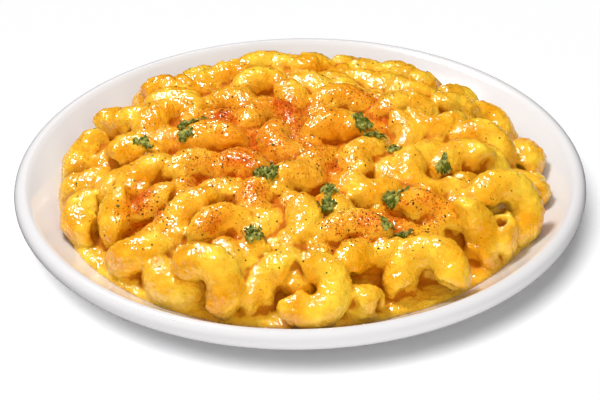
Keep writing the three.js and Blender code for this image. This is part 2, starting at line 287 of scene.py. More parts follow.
class PlateSettings(bpy.types.PropertyGroup):
    glaze: colour_property("Glaze", "Colour of the glazed porcelain", "#CFCDCD")
    facets: count_property("Facets", "Steps round the plate", 192, 32)


class HeapSettings(bpy.types.PropertyGroup):
    grain: length_property("Grain", "Size of the mesh's cells", 0.6)
    coat: length_property("Coat", "Thickness of the sauce on the elbows", 0.9)
    fillet: length_property("Fillet", "Reach of the sauce that fills the crevices", 0.1)
    lumps: length_property("Lumps", "Height of the lumps in the coat of sauce", 0.9)
    ripples: length_property("Ripples", "Height of the small ripples in the sauce", 1.0)
    faces: count_property("Triangles", "Triangles kept in the heap", 190000, 20000)
    golden: colour_property("Golden", "Sauce where it is thin", "#FFCE36")
    orange: colour_property("Orange", "Sauce where it is thick", "#FCA808")
    # The shade colour is painted shade, laid on the sauce where it lies deep between the elbows.
    shade: colour_property("Shade", "Sauce deep between the elbows", "#B05000")


class ToppingSettings(bpy.types.PropertyGroup):
    pepper_grains: count_property("Pepper grains", "Grains of black pepper", 2600)
    paprika_grains: count_property("Paprika grains", "Coarse grains of paprika", 6000)
    herb_scraps: count_property("Herb scraps", "Scraps of dried herb", 160)
    pepper: colour_property("Pepper", "Colour of the black pepper", "#48240A")
    paprika: colour_property("Paprika", "Colour of the paprika", "#C04200")
    stain: colour_property("Stain", "Sauce that the paprika has stained", "#F06A00")
    herb: colour_property("Herb", "Colour of the dried herb", "#4E5A22")
    leaf: colour_property("Leaf", "Parsley's upper face", "#485006")
    # This pale colour is laid in random flecks on the parsley: partly a paler leaf tone, partly painted
    # highlight.
    leaf_pale_and_highlight: colour_property("Leaf light", "Parsley where it is young or thin", "#B8B458")


class StageSettings(bpy.types.PropertyGroup):
    floor: colour_property("Floor", "Colour of the floor", "#FBFBFC")
    glow: light_property("Glow", "Strength of the light that the floor gives off", 0.1)
    key: light_property("Key light", "Power of the small soft light at the far left", 8.3, "POWER")
    top: light_property("Top light", "Power of the large soft light at the far side", 1.2, "POWER")
    fill: light_property("Fill light", "Power of the large soft light at the near side", 12.5, "POWER")
    dome: light_property("Dome", "Strength of the even light from above and the left", 0.9)
    wash: light_property("Floor wash", "Strength of the light that falls on the floor alone", 3.15)
    sky: light_property("Sky", "Strength of the even light from all round", 0.1)


SETTINGS = {
    "macaroni_plate": PlateSettings,
    "macaroni_heap": HeapSettings,
    "macaroni_toppings": ToppingSettings,
    "macaroni_stage": StageSettings,
}


# ---- Numbers and shapes ----

BELOW_END = 1e-6  # keeps a random place in a list short of the list's end
WANDER_STEPS = (31.7, 17.3, 7.9)  # how far one seed's random field lies from the next
GRAIN_WIDTHS = (0.4, 1)  # for a length of 1


def seeded(seed):
    """A repeatable source of numbers within a range, by a linear congruential generator."""
    factor, step, modulus = 1664525, 1013904223, 2**32
    state = seed

    def draw(ends):
        nonlocal state
        state = (state * factor + step) % modulus
        return ends[0] + (ends[1] - ends[0]) * state / modulus

    return draw


def pick(things, draw):
    """One of several things, at random."""
    return things[int(draw((0, len(things) - BELOW_END)))]


def round_place(radius, angle):
    """The two coordinates of a place at a distance and an angle in radians."""
    return radius * math.cos(angle), radius * math.sin(angle)


def turned(x, y, degrees):
    """Flat coordinates, turned to the left by an angle in degrees."""
    angle = math.radians(degrees)
    return x * math.cos(angle) - y * math.sin(angle), x * math.sin(angle) + y * math.cos(angle)


def lip_point(angle):
    """A point of the rolled edge, as radius and height, at an angle from straight out."""
    out, up = round_place(LIP_ROUND, math.radians(angle))
    return PLATE_RADIUS - LIP_ROUND + out, LIP_TOP - LIP_ROUND + up


WALL_END = lip_point(LIP_INSIDE)
WALL_RUN = WALL_END[0] - WELL_RADIUS
WALL_RISE = WALL_END[1] - WELL_HEIGHT
UNDER_END = lip_point(LIP_OUTSIDE)


def plate_top(radius):
    """Height of the plate's upper face at a distance from its axis."""
    share = np.maximum(0, radius - WELL_RADIUS) / WALL_RUN
    return WELL_HEIGHT + WALL_RISE * share**WALL_POWER


def plate_top_slope(radius):
    share = np.maximum(0, radius - WELL_RADIUS) / WALL_RUN
    return WALL_POWER * WALL_RISE * share ** (WALL_POWER - 1) / WALL_RUN


def plate_underside(radius):
    share = (radius - UNDER_RADIUS) / (UNDER_END[0] - UNDER_RADIUS)
    return UNDER_HEIGHT + (UNDER_END[1] - UNDER_HEIGHT) * share**WALL_POWER


def heap_top(radius):
    """Height of the heap's outline at a distance from its axis."""
    share = radius / HEAP_SPREAD
    return HEAP_FOOT + HEAP_RISE * (1 - share**SHOULDER) + HEAP_CROWN * (1 - share**2)


def heap_up(x, y):
    """The way straight out of the heap's outline."""
    radius = math.hypot(x, y)
    share = radius / HEAP_SPREAD
    shoulder_fall = SHOULDER * HEAP_RISE * share ** (SHOULDER - 1)
    slope = -(shoulder_fall + 2 * HEAP_CROWN * share) / HEAP_SPREAD
    up = np.array([-slope * x / radius, -slope * y / radius, 1.0])
    return up / np.linalg.norm(up)


def core_top(radius):
    """Height of the core of sauce at a distance from the heap's axis, without its waves."""
    share = np.minimum(1, radius / CORE_SPREAD)
    return SAUCE_LEVEL + (CORE_RISE - CORE_SINK) * (1 - share**SHOULDER)


def wander(points, size, seed):
    """Smooth random values from about -1 to 1 at points in millimetres."""
    shift = Vector([seed * step for step in WANDER_STEPS])
    return np.array([noise.noise(Vector(p) / size + shift) for p in points])


class Elbow:
    """One elbow, laid so that its highest point is just under the heap's outline."""

    def __init__(self, row):
        x, y, heading, lean, tilt, sweep, sink, size, *ends = row
        self.open_ends = ends[0] if ends else ()
        self.girth = size["girth"]
        self.bend = size["bend"]
        if math.hypot(x, y) < BURIED_RADIUS:
            sweep = max(sweep, SHORTEST_SWEEP)
        self.half = math.radians(sweep) / 2
        up = heap_up(x, y)
        turn, lean, tilt = (math.radians(angle) for angle in (heading, lean, tilt))
        ahead = np.array([math.cos(turn), math.sin(turn), 0.0])
        ahead -= up * (ahead @ up)
        ahead /= np.linalg.norm(ahead)
        side = np.cross(up, ahead)
        self.along = math.cos(lean) * ahead + math.sin(lean) * up
        third = np.cross(self.along, side)
        self.across = math.cos(tilt) * side + math.sin(tilt) * third
        self.centre = np.zeros(3)
        samples = self.samples()
        middle = samples.mean(axis=0)
        rise = ((samples - middle) @ up).max()
        top = np.array([x, y, heap_top(math.hypot(x, y))])
        self.centre = top - middle - up * (rise + self.girth + sink)
        self.lift_off_plate()

    def line(self, angles):
        """Points of the elbow's middle line."""
        cosines, sines = np.cos(angles)[:, None], np.sin(angles)[:, None]
        return self.centre + self.bend * (cosines * self.along + sines * self.across)

    def point(self, angle):
        return self.line(np.array([angle]))[0]

    def samples(self):
        return self.line(np.linspace(-self.half, self.half, SAMPLES))

    def lift_off_plate(self):
        """Raises the elbow where its side would go into the plate."""
        samples = self.samples()
        radius = np.hypot(samples[:, 0], samples[:, 1])
        clearance = (self.girth + GAP) * np.hypot(1, plate_top_slope(radius))
        shortfall = plate_top(radius) + clearance - samples[:, 2]
        self.centre[2] += max(0.0, shortfall.max())

    def ring(self, angle, share, sides, coat):
        """One ring round the elbow, at a share of its girth with its coat of sauce."""
        outward = math.cos(angle) * self.along + math.sin(angle) * self.across
        sideways = np.cross(self.along, self.across)
        turns = np.linspace(0, math.tau, sides, endpoint=False)[:, None]
        reach = (self.girth + coat) * share
        return self.point(angle) + reach * (np.cos(turns) * outward + np.sin(turns) * sideways)


def any_elbow(angle, radius, draw, sink=ANY_SINK):
    """A row for an elbow that lies at random, at an angle in radians and a distance."""
    ranges = (ANY_HEADING, ANY_LEAN, ANY_TILT, ANY_SWEEP, sink)
    return (*round_place(radius, angle), *[draw(ends) for ends in ranges], PLAIN)


def rear_elbows(draw):
    angles = np.linspace(REAR_FROM, REAR_TO, REAR_ELBOWS)
    return [any_elbow(math.radians(angle), draw(REAR_RADII), draw) for angle in angles]


def fill_elbows(draw, laid, places, spacing, sink=ANY_SINK):
    """More elbows, wherever a place on a spiral is far enough from the others."""
    laid = list(laid)
    for place in np.arange(places) + 0.5:
        radius = FILL_REACH * math.sqrt(place / places)
        angle = math.radians(place * GOLDEN_ANGLE)
        x, y = round_place(radius, angle)
        if all(math.hypot(row[0] - x, row[1] - y) > spacing for row in laid):
            laid.append(any_elbow(angle, radius, draw, sink))
    return laid


def all_elbows():
    """The elbows with rows of their own and the random ones behind, between and under them."""
    draw = seeded(SEED)
    rear = rear_elbows(draw)
    shown = fill_elbows(draw, [*ELBOWS, *rear], FILL_PLACES, FILL_SPACING)
    rows = fill_elbows(draw, shown, UNDER_PLACES, UNDER_SPACING, UNDER_SINK)
    return [Elbow(row) for row in rows]


def quad_faces(*corners):
    """Faces from four arrays of their corners' numbers."""
    return [tuple(face) for face in np.stack(corners, -1).reshape(-1, 4).tolist()]


def loft(first, rings, last):
    """A closed skin over rings of equal length, drawn together at a point at each end."""
    sides = len(rings[0])
    points = np.vstack([[first], *rings, [last]])
    here = np.arange(sides)
    after = (here + 1) % sides
    starts = 1 + sides * np.arange(len(rings) - 1)[:, None]
    bottom = 1 + sides * (len(rings) - 1)
    pairs = list(zip(here.tolist(), after.tolist()))
    faces = [(0, 1 + b, 1 + a) for a, b in pairs]
    faces += quad_faces(starts + here, starts + after, starts + sides + after, starts + sides + here)
    faces += [(len(points) - 1, bottom + a, bottom + b) for a, b in pairs]
    return points, faces


def merged(shapes):
    """Many shapes, each of points and faces, as one."""
    starts = np.cumsum([0] + [len(points) for points, _ in shapes[:-1]])
    points = np.vstack([points for points, _ in shapes])
    faces = [
        tuple(start + i for i in face)
        for start, (_, shape_faces) in zip(starts.tolist(), shapes)
        for face in shape_faces
    ]
    return points, faces


def strewn(mould, place, outward, size, flatness, draw):
    """A grain's points, laid flat on a surface, turned and stretched at random."""
    turn = Matrix.Rotation(draw((0, math.tau)), 3, "Z")
    stretch = Matrix.Diagonal((1, draw(GRAIN_WIDTHS), flatness))
    stand = Vector(outward).to_track_quat("Z", "Y").to_matrix()
    shape = np.array(stand @ turn @ stretch) * size
    return mould @ shape.T + place


# ---- Working in Blender ----

MERGE_DISTANCE = 0.01
GRAIN_LUMP = 0.7  # size of a grain's unevenness, for a radius of 1
GRAIN_SEED = 6


def new_piece(name, points, faces):
    """A mesh object at the origin, from points in millimetres, selected and active."""
    mesh = bpy.data.meshes.new(name)
    mesh.from_pydata((np.asarray(points) * MM).tolist(), [], faces)
    piece = bpy.data.objects.new(name, mesh)
    bpy.context.collection.objects.link(piece)
    bpy.ops.object.select_all(action="DESELECT")
    piece.select_set(True)
    bpy.context.view_layer.objects.active = piece
    return piece


def modify(piece, kind, **settings):
    """Adds a modifier, sets it and applies it."""
    modifier = piece.modifiers.new(kind.title(), kind)
    for name, value in settings.items():
        setattr(modifier, name, value)
    bpy.ops.object.modifier_apply(modifier=modifier.name)


def face_outwards():
    """Merges the active piece's doubles and makes its faces point out."""
    bpy.ops.object.mode_set(mode="EDIT")
    bpy.ops.mesh.select_all(action="SELECT")
    bpy.ops.mesh.remove_doubles(threshold=MERGE_DISTANCE * MM)
    bpy.ops.mesh.normals_make_consistent(inside=False)
    bpy.ops.object.mode_set(mode="OBJECT")


def grain_mould(subdivisions, roughness):
    """One small uneven grain, modelled once: its points and faces."""
    bpy.ops.object.select_all(action="DESELECT")
    bpy.ops.mesh.primitive_ico_sphere_add(subdivisions=subdivisions, radius=1)
    ball = bpy.context.object
    mesh = ball.data
    points = np.array([vertex.co for vertex in mesh.vertices])
    faces = [tuple(face.vertices) for face in mesh.polygons]
    bpy.data.objects.remove(ball)
    bpy.data.meshes.remove(mesh)
    points *= 1 + roughness * wander(points, GRAIN_LUMP, GRAIN_SEED)[:, None]
    return points, faces


def mesh_rows(source, field):
    """A field of three numbers of each vertex, as an array's rows."""
    values = np.empty(len(source) * 3, np.float32)
    source.foreach_get(field, values)
    return values.reshape(-1, 3).astype(float)


def places_and_normals(mesh):
    return mesh_rows(mesh.vertices, "co"), mesh_rows(mesh.vertex_normals, "vector")


def add_attribute(mesh, name, values):
    attribute = mesh.attributes.new(name, "FLOAT", "POINT")
    attribute.data.foreach_set("value", values.astype(np.float32))


def dress(piece, material, slot, *nodes):
    """Gives a finished piece its material and its place on the plate."""
    piece.data.materials.clear()
    piece.data.materials.append(material)
    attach(piece, "root")
    if nodes:
        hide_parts(*nodes)


# ---- Materials ----

# A Mix node has sockets of the same names for each kind of value, so its colours go by number.
FACTOR, FROM, TO, MIXED = 0, 6, 7, 2


def new_material(name):
    """A material with its tree, its shader, joined to the output, and the object's coordinates."""
    material = bpy.data.materials.new(name)
    material.use_nodes = True
    tree = material.node_tree
    tree.nodes.clear()
    shader = tree.nodes.new("ShaderNodeBsdfPrincipled")
    output = tree.nodes.new("ShaderNodeOutputMaterial")
    tree.links.new(shader.outputs["BSDF"], output.inputs["Surface"])
    return material, tree, shader, add_node(tree, "ShaderNodeTexCoord", output="Object")


def set_inputs(tree, node, inputs):
    """Sets a node's inputs, by name or number, to values or other nodes' outputs."""
    for name, value in inputs.items():
        if isinstance(value, bpy.types.NodeSocket):
            tree.links.new(value, node.inputs[name])
        else:
            node.inputs[name].default_value = value


def add_node(tree, kind, inputs=None, output=0, **settings):
    """Adds a node with its inputs and settings, and returns the output that others take up."""
    node = tree.nodes.new(kind)
    for name, value in settings.items():
        setattr(node, name, value)
    set_inputs(tree, node, inputs or {})
    return node.outputs[output]


def per_metre(millimetres):
    """The scale that makes a pattern repeat about every so many millimetres."""
    return 1 / (millimetres * MM)


def toned(tree, colour, pattern, least, most=1.0):
    """A colour that a pattern makes lighter or darker, between two shares of itself."""
    tone = add_node(tree, "ShaderNodeMapRange", {"Value": pattern, "To Min": least, "To Max": most})
    return add_node(
        tree,
        "ShaderNodeMix",
        {FACTOR: 1.0, FROM: colour, TO: tone},
        output=MIXED,
        data_type="RGBA",
        blend_type="MULTIPLY",
    )


def glazed_porcelain():
    """Fired white clay under a clear, thick glaze: hard, glossy and very slightly uneven."""
    material, tree, shader, place = new_material("glazed_porcelain")
    settings = bpy.context.scene.macaroni_plate
    cloud = add_node(
        tree, "ShaderNodeTexNoise", {"Vector": place, "Scale": per_metre(45), "Detail": 3.0}
    )
    gloss = add_node(tree, "ShaderNodeMapRange", {"Value": cloud, "To Min": 0.1, "To Max": 0.18})
    ripple = add_node(
        tree, "ShaderNodeTexNoise", {"Vector": place, "Scale": per_metre(9), "Detail": 1.0}
    )
    bump = add_node(tree, "ShaderNodeBump", {"Height": ripple, "Strength": 0.15, "Distance": 0.2 * MM})
    finish = {
        "Base Color": toned(tree, settings.glaze, cloud, 0.975),
        "Roughness": gloss,
        "Normal": bump,
        "Coat Weight": 0.4,
        "Coat Roughness": 0.06,
    }
    set_inputs(tree, shader, finish)
    return material


def cheese_sauce():
    """Melted cheese in a thick cream sauce: wet, grainy and softly lit from within, with painted shade
    in its hollows.
    """
    material, tree, shader, place = new_material("cheese_sauce")
    settings = bpy.context.scene.macaroni_heap
    toppings = bpy.context.scene.macaroni_toppings

    # Thin sauce is golden, thick sauce is orange, and a painted shade darkens both in the hollows
    # between the elbows.
    mottle = add_node(
        tree,
        "ShaderNodeTexNoise",
        {"Vector": place, "Scale": per_metre(14), "Detail": 4.0, "Roughness": 0.6},
    )
    thick = add_node(tree, "ShaderNodeMapRange", {"Value": mottle, "From Min": 0.35, "From Max": 0.65})
    body = add_node(
        tree,
        "ShaderNodeMix",
        {FACTOR: thick, FROM: settings.golden, TO: settings.orange},
        output=MIXED,
        data_type="RGBA",
    )
    # The hollow mask mixes painted shade into the sauce, darkest deep between the elbows.
    hollow = add_node(tree, "ShaderNodeAttribute", output="Fac", attribute_name="hollow")
    depth = add_node(
        tree,
        "ShaderNodeMapRange",
        {"Value": hollow, "From Min": 0.3, "From Max": 1.0, "To Max": 0.8},
        interpolation_type="SMOOTHSTEP",
    )
    shaded = add_node(
        tree,
        "ShaderNodeMix",
        {FACTOR: depth, FROM: body, TO: settings.shade},
        output=MIXED,
        data_type="RGBA",
    )

    # Paprika stains the sauce, and its fine dust lies on it in specks.
    dusting = add_node(tree, "ShaderNodeAttribute", output="Fac", attribute_name="paprika")
    stain = add_node(tree, "ShaderNodeMapRange", {"Value": dusting, "From Max": 0.9, "To Max": 0.75})
    stained = add_node(
        tree,
        "ShaderNodeMix",
        {FACTOR: stain, FROM: shaded, TO: toppings.stain},
        output=MIXED,
        data_type="RGBA",
    )
    grain = add_node(
        tree,
        "ShaderNodeTexNoise",
        {"Vector": place, "Scale": per_metre(1.2), "Detail": 6.0, "Roughness": 0.9},
    )
    cover = add_node(tree, "ShaderNodeMapRange", {"Value": dusting, "To Max": 0.2})
    dusted = add_node(tree, "ShaderNodeMath", {0: cover, 1: grain}, operation="ADD")
    dust = add_node(
        tree, "ShaderNodeMapRange", {"Value": dusted, "From Min": 0.6, "From Max": 0.72, "To Max": 0.95}
    )
    colour = add_node(
        tree,
        "ShaderNodeMix",
        {FACTOR: dust, FROM: stained, TO: toppings.paprika},
        output=MIXED,
        data_type="RGBA",
    )

    # Curds make it grainy in patches, under a wet skin with its own fine wrinkles.
    patches = add_node(
        tree, "ShaderNodeTexNoise", {"Vector": place, "Scale": per_metre(7), "Detail": 1.0}
    )
    rough = add_node(
        tree, "ShaderNodeMapRange", {"Value": patches, "From Min": 0.3, "From Max": 0.55, "To Min": 0.4}
    )
    curd = add_node(
        tree,
        "ShaderNodeTexNoise",
        {"Vector": place, "Scale": per_metre(1.2), "Detail": 4.0, "Roughness": 0.7},
    )
    height = add_node(tree, "ShaderNodeMath", {0: curd, 1: rough}, operation="MULTIPLY")
    bump = add_node(tree, "ShaderNodeBump", {"Height": height, "Strength": 1.0, "Distance": 1.4 * MM})
    skin = add_node(
        tree, "ShaderNodeTexNoise", {"Vector": place, "Scale": per_metre(1.8), "Detail": 1.5}
    )
    wrinkle = add_node(tree, "ShaderNodeBump", {"Height": skin, "Strength": 1.0, "Distance": 0.9 * MM})

    # The skin is dull where dust lies on it and deep between the elbows.
    dull = add_node(tree, "ShaderNodeMath", {0: dust, 1: depth}, operation="MAXIMUM")
    gloss = add_node(tree, "ShaderNodeMapRange", {"Value": dull, "To Min": 0.34, "To Max": 0.75})
    wet = add_node(
        tree, "ShaderNodeMapRange", {"Value": dull, "From Max": 0.7, "To Min": 1.0, "To Max": 0.0}
    )
    finish = {
        "Base Color": colour,
        "Roughness": gloss,
        "Specular IOR Level": 0.15,
        "Normal": bump,
        "Subsurface Weight": 0.1,
        "Subsurface Radius": (1.0, 0.6, 0.15),
        "Subsurface Scale": 2.0 * MM,
        "Coat Weight": wet,
        "Coat Roughness": 0.12,
        "Coat IOR": 1.8,
        "Coat Normal": wrinkle,
    }
    set_inputs(tree, shader, finish)
    return material


def parsley_leaf():
    """Fresh chopped parsley: thin, crisp and waxy, with random pale flecks that are partly a paler leaf
    tone and partly painted highlight.
    """
    material, tree, shader, place = new_material("parsley_leaf")
    settings = bpy.context.scene.macaroni_toppings
    mottle = add_node(
        tree,
        "ShaderNodeTexNoise",
        {"Vector": place, "Scale": per_metre(2.5), "Detail": 4.0, "Roughness": 0.7},
    )
    # Random pale flecks, partly a paler leaf tone and partly painted highlight.
    flecked = add_node(tree, "ShaderNodeMapRange", {"Value": mottle, "From Min": 0.45, "From Max": 0.68})
    colour = add_node(
        tree,
        "ShaderNodeMix",
        {FACTOR: flecked, FROM: settings.leaf, TO: settings.leaf_pale_and_highlight},
        output=MIXED,
        data_type="RGBA",
    )
    veins = add_node(tree, "ShaderNodeTexNoise", {"Vector": place, "Scale": per_metre(1.2)})
    bump = add_node(tree, "ShaderNodeBump", {"Height": veins, "Strength": 0.5, "Distance": 0.3 * MM})
    finish = {
        "Base Color": colour,
        "Roughness": 0.45,
        "Specular IOR Level": 0.2,
        "Normal": bump,
    }
    set_inputs(tree, shader, finish)
    return material


def ground_spice(name, colour):
    """Dry ground spice: dull, rough grains, each a little lighter or darker."""
    material, tree, shader, place = new_material(name)
    mottle = add_node(tree, "ShaderNodeTexNoise", {"Vector": place, "Scale": per_metre(1.0)})
    finish = {
        "Base Color": toned(tree, colour, mottle, 0.55, 1.4),
        "Roughness": 0.7,
        "Specular IOR Level": 0.1,
    }
    set_inputs(tree, shader, finish)
    return material


def matt_paint():
    """A plain matt painted floor with a faint unevenness in its paint."""
    material, tree, shader, place = new_material("matt_paint")
    settings = bpy.context.scene.macaroni_stage
    cloud = add_node(tree, "ShaderNodeTexNoise", {"Vector": place, "Scale": per_metre(300)})
    colour = toned(tree, settings.floor, cloud, 0.99)
    finish = {
        "Base Color": colour,
        "Roughness": 0.8,
        "Emission Color": colour,
        "Emission Strength": settings.glow,
    }
    set_inputs(tree, shader, finish)
    return material


# ---- Plate ----

UNDER_STEPS = 14
LIP_STEPS = 22
WALL_STEPS = 22
SMOOTH_UP_TO = 40  # degrees between faces that are shaded as one


def plate_outline():
    """The plate's section, from the middle of its underside out, over the lip and back."""
    underside = np.linspace(UNDER_RADIUS, UNDER_END[0], UNDER_STEPS)[:-1]
    wall = np.linspace(WALL_END[0], WELL_RADIUS, WALL_STEPS)[1:]
    return [
        (0, UNDER_HEIGHT),
        (RECESS_RADIUS, UNDER_HEIGHT),
        (FOOT_INNER - FOOT_FLARE, FOOT_EDGE),
        (FOOT_INNER, 0),
        (FOOT_OUTER, 0),
        (FOOT_OUTER + FOOT_FLARE, FOOT_EDGE),
        *[(radius, plate_underside(radius)) for radius in underside],
        *[lip_point(angle) for angle in np.linspace(LIP_OUTSIDE, LIP_INSIDE, LIP_STEPS)],
        *[(radius, plate_top(radius)) for radius in wall],
        (WELL_RADIUS / 2, WELL_HEIGHT),
        (0, WELL_HEIGHT),
    ]


def spin_plate():
    """Draws the plate's outline point by point and spins it about its axis."""
    settings = bpy.context.scene.macaroni_plate
    outline = [Vector((radius * MM, 0, height * MM)) for radius, height in plate_outline()]
    bpy.ops.object.select_all(action="DESELECT")
    bpy.ops.mesh.primitive_plane_add(size=MM, location=(0, 0, 0))
    piece = bpy.context.object
    piece.name = "coupe_plate"
    bpy.ops.object.mode_set(mode="EDIT")
    bpy.ops.mesh.select_all(action="SELECT")
    bpy.ops.mesh.merge(type="CENTER")
    bpy.ops.transform.translate(value=outline[0])
    for start, end in zip(outline, outline[1:]):
        bpy.ops.mesh.extrude_region_move(TRANSFORM_OT_translate={"value": end - start})
    bpy.ops.mesh.select_all(action="SELECT")
    bpy.ops.mesh.spin(steps=settings.facets, angle=math.tau, center=(0, 0, 0), axis=(0, 0, 1))
    bpy.ops.object.mode_set(mode="OBJECT")
    face_outwards()
    bpy.ops.object.shade_smooth_by_angle(angle=math.radians(SMOOTH_UP_TO))
    return piece


class MACARONI_OT_plate(bpy.types.Operator):
    """Makes the round white coupe plate"""

    bl_idname = "macaroni.plate"
    bl_label = "Plate"
    bl_options = {"REGISTER", "UNDO"}

    def execute(self, context):
        dress(spin_plate(), glazed_porcelain(), "porcelain", "plate")
        return {"FINISHED"}


# ---- Macaroni in cheese sauce ----

TUBE_SIDES = 22
STEP_ANGLE = math.radians(9)
FEWEST_STEPS = 3
END_COAT = 1.2  # how far the sauce on an end stands past the cut
BORE_DEPTH = 5.0
FILLED_DEPTH = 0.8  # a bore that is full of sauce shows as a dimple
RIM_ROUND = 3.0
# Each pair holds how far back a ring lies, as a share of the rim's roundness, and its girth.
RIM_PROFILE = ((1, 1.0), (0.5, 0.95), (0.15, 0.83), (0, 0.68), (0.05, 0.5))
BORE_MIDDLE = 0.4  # the bore's share of the girth half way down
BORE_FLOOR = 0.3
CORE_SIDES = 180
CORE_RINGS = 48
RING_CROWDING = 0.6  # below 1, the rings lie closer together towards the edge
EDGE_WAVE = 1.4
EDGE_WAVE_SIZE = 26
EDGE_SEED = 1
WAVE_SHARES = (0, 0.7, 0.85, 1)  # shares of the way out, and how high the sauce waves there
WAVE_HEIGHTS = (3.0, 3.0, 0.6, 0)
WAVE_SIZE = 9
WAVE_SEED = 2
CURDS = 1600
CURD_SIZES = (0.6, 2.4)
CURD_FLATNESS = 0.35
CURD_DETAIL = 2
CURD_ROUGHNESS = 0.5
SAUCE_SINK = 0.6  # how far the sauce reaches into the glaze, so that no gap shows
BEAD_HEIGHT = 1.3
BEAD_WIDTH = 2.2
LUMP_SIZE = 4.5
RIPPLE_SIZE = 1.8
CLOUD_DEPTH = 2
HOLLOW_ROUNDS = 30  # the more, the wider the surroundings that a point is set against
HOLLOW_DEPTH = 1.2  # what lies this deep counts as fully hollow
STREAK_SIZE = 3.0
STREAK_STRETCH = (0.4, 1.0, 1.0)  # below 1, the streaks are longer that way
STREAK_SEED = 5
STREAK_LEAST = 0.5
STREAK_RANGE = 0.9
FACING_SLOPE = 1.5  # how soon the dusting fades on what faces away from above
FACING_LEAST = 0.1


def cut_end(elbow, depth):
    """Rings of a cut end, over its rounded rim and down its bore, ending at a point.

    Each is an angle along the elbow and a share of its girth.
    """
    tip = elbow.half + END_COAT / elbow.bend
    rim = RIM_ROUND / elbow.bend
    floor = tip - depth / elbow.bend
    return [
        *[(tip - back * rim, share) for back, share in RIM_PROFILE],
        (0.5 * (tip + floor), BORE_MIDDLE),
        (floor, BORE_FLOOR),
        (floor, 0.0),
    ]


def elbow_shape(elbow, coat):
    """An elbow with its coat, as a closed skin with a bore or a dimple in each end."""
    start, end = [
        cut_end(elbow, BORE_DEPTH if side in elbow.open_ends else FILLED_DEPTH) for side in (-1, 1)
    ]
    start = [(-angle, share) for angle, share in reversed(start)]
    count = max(FEWEST_STEPS, round((end[0][0] - start[-1][0]) / STEP_ANGLE))
    body = [(angle, 1.0) for angle in np.linspace(start[-1][0], end[0][0], count + 1)]
    rings = [*start[1:-1], *body, *end[1:-1]]
    skin = [elbow.ring(angle, share, TUBE_SIDES, coat) for angle, share in rings]
    return loft(elbow.point(start[0][0]), skin, elbow.point(end[-1][0]))


def curd_shapes(elbows, coat):
    """Curds and drips of thick sauce that stick to the elbows' upper sides."""
    draw = seeded(SEED)
    mould, mould_faces = grain_mould(CURD_DETAIL, CURD_ROUGHNESS)
    shapes = []
    for _ in range(CURDS):
        elbow = pick(elbows, draw)
        angle = draw((-elbow.half, elbow.half))
        away = pick(elbow.ring(angle, 1.0, TUBE_SIDES, coat) - elbow.point(angle), draw)
        away[2] = abs(away[2])
        size = draw(CURD_SIZES)
        place = elbow.point(angle) + away
        shapes.append((strewn(mould, place, away, size, CURD_FLATNESS, draw), mould_faces))
    return shapes


def core_shape():
    """The sauce under and between the elbows, out to a soft bead against the plate's wall."""
    turns = np.linspace(0, math.tau, CORE_SIDES, endpoint=False)
    round_points = np.stack([np.cos(turns), np.sin(turns), 0 * turns], -1)
    edge = SAUCE_EDGE + EDGE_WAVE * wander(round_points * SAUCE_EDGE, EDGE_WAVE_SIZE, EDGE_SEED)
    shares = np.linspace(0, 1, CORE_RINGS + 1)[1:] ** RING_CROWDING
    top, bottom = [], []
    for share in shares:
        radius = edge * share
        inward = np.clip((edge - radius) / BEAD_WIDTH, 0, 1)
        bead = BEAD_HEIGHT * np.sqrt(inward * (2 - inward))
        height = core_top(radius) - SAUCE_LEVEL + plate_top(edge) + bead
        wave = np.interp(share, WAVE_SHARES, WAVE_HEIGHTS)
        height += wave * wander(round_points * radius[:, None], WAVE_SIZE, WAVE_SEED)
        floor = plate_top(radius) - SAUCE_SINK
        flat = round_points[:, :2] * radius[:, None]
        top.append(np.column_stack([flat, height]))
        bottom.append(np.column_stack([flat, floor]))
    lowest = (0, 0, WELL_HEIGHT - SAUCE_SINK)
    highest = (0, 0, float(core_top(0)))
    return loft(lowest, [*bottom, *reversed(top)], highest)


def clouds(name, millimetres):
    """A Clouds texture for Displace, with features of about a given size."""
    texture = bpy.data.textures.new(name, "CLOUDS")
    texture.noise_scale = millimetres * MM
    texture.noise_depth = CLOUD_DEPTH
    return texture


def softened(mesh, values, rounds):
    """Values at a mesh's vertices, each averaged with its neighbours again and again."""
    edges = np.empty(len(mesh.edges) * 2, np.int32)
    mesh.edges.foreach_get("vertices", edges)
    ends = edges.reshape(-1, 2)
    here = np.concatenate([ends[:, 0], ends[:, 1]])
    there = np.concatenate([ends[:, 1], ends[:, 0]])
    count = len(mesh.vertices)
    neighbours = np.maximum(1, np.bincount(here, minlength=count))
    for _ in range(rounds):
        columns = [
            np.bincount(here, weights=column[there], minlength=count) / neighbours
            for column in values.T
        ]
        values = np.stack(columns, -1)
    return values


def mark_hollows(mesh):
    """Stores how deep each point lies below its surroundings, from 0 to 1, for the painted shade in the
    hollows.
    """
    places, outward = places_and_normals(mesh)
    lift = softened(mesh, places, HOLLOW_ROUNDS) - places
    depth = np.einsum("ij,ij->i", lift, outward) / MM
    add_attribute(mesh, "hollow", np.clip(depth / HOLLOW_DEPTH, 0, 1))


def mark_paprika(mesh):
    """Stores how thick the paprika lies, in streaky patches on what faces up."""
    places, outward = places_and_normals(mesh)
    places /= MM
    amount = np.zeros(len(places))
    for x, y, spread, strength in (*PAPRIKA, PAPRIKA_TINGE):
        distance = np.hypot(places[:, 0] - x, places[:, 1] - y)
        amount = np.maximum(amount, strength * np.exp(-((distance / spread) ** 2)))
    patchy = 0.5 + 0.5 * wander(places * STREAK_STRETCH, STREAK_SIZE, STREAK_SEED)
    facing = np.clip(outward[:, 2] * FACING_SLOPE + FACING_LEAST, 0, 1)
    add_attribute(mesh, "paprika", amount * (STREAK_LEAST + STREAK_RANGE * patchy) * facing)


